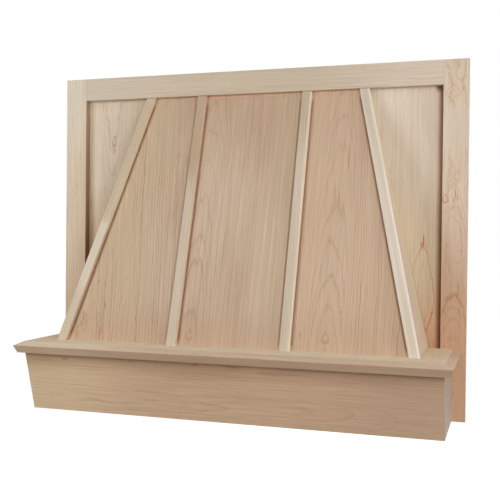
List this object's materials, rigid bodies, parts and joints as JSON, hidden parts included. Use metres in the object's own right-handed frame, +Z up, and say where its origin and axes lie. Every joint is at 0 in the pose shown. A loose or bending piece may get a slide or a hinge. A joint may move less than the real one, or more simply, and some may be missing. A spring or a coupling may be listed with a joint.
{
  "type": "wooden range hood cover",
  "caption": "Wooden range hood cover: a face frame with recessed panels, a tapered hood front with battens that leans out to a mitred ledge moulding, and a leaning apron box below.",
  "frame": {"origin": "under the middle of the bounding box, on the floor plane that the apron and the stiles share", "axes": "X to the right seen from the room, Y from the room toward the cabinet, Z up; the front faces -Y"},
  "size_m": [0.9144, 0.2672, 0.735],
  "materials": {
    "maple_frame": "unfinished, sanded",
    "maple_rail": "unfinished, sanded",
    "maple_veneer": "unfinished, sanded",
    "maple_side": "unfinished, sanded",
    "maple_batten": "unfinished, sanded",
    "maple_ledge": "unfinished, sanded",
    "maple_ledge_side": "unfinished, sanded",
    "maple_apron": "unfinished, sanded",
    "maple_apron_side": "unfinished, sanded",
    "cleat_wood": "unfinished, sanded",
    "screw_steel": "zinc plated"
  },
  "bodies": {
    "root": {"left_stile": "maple_frame", "right_stile": "maple_frame", "top_rail": "maple_rail", "left_wing_panel": "maple_veneer", "right_wing_panel": "maple_veneer", "front_panel": "maple_veneer", "left_hood_side": "maple_side", "right_hood_side": "maple_side", "batten_outer_left": "maple_batten", "batten_inner_left": "maple_batten", "batten_inner_right": "maple_batten", "batten_outer_right": "maple_batten", "ledge_front": "maple_ledge", "ledge_left": "maple_ledge_side", "ledge_right": "maple_ledge_side", "apron_front": "maple_apron", "apron_left": "maple_apron_side", "apron_right": "maple_apron_side", "top_cleat": "cleat_wood", "left_side_cleat": "cleat_wood", "right_side_cleat": "cleat_wood", "base_cleat_front": "cleat_wood", "base_cleat_left": "cleat_wood", "base_cleat_right": "cleat_wood", "liner_cleat_front": "cleat_wood", "liner_cleat_left": "cleat_wood", "liner_cleat_right": "cleat_wood", "left_corner_block": "cleat_wood", "right_corner_block": "cleat_wood", "left_return_cleat": "cleat_wood", "right_return_cleat": "cleat_wood", "pocket_screws": "screw_steel", "wing_screws": "screw_steel", "cleat_screws": "screw_steel"}
  },
  "joints": []
}
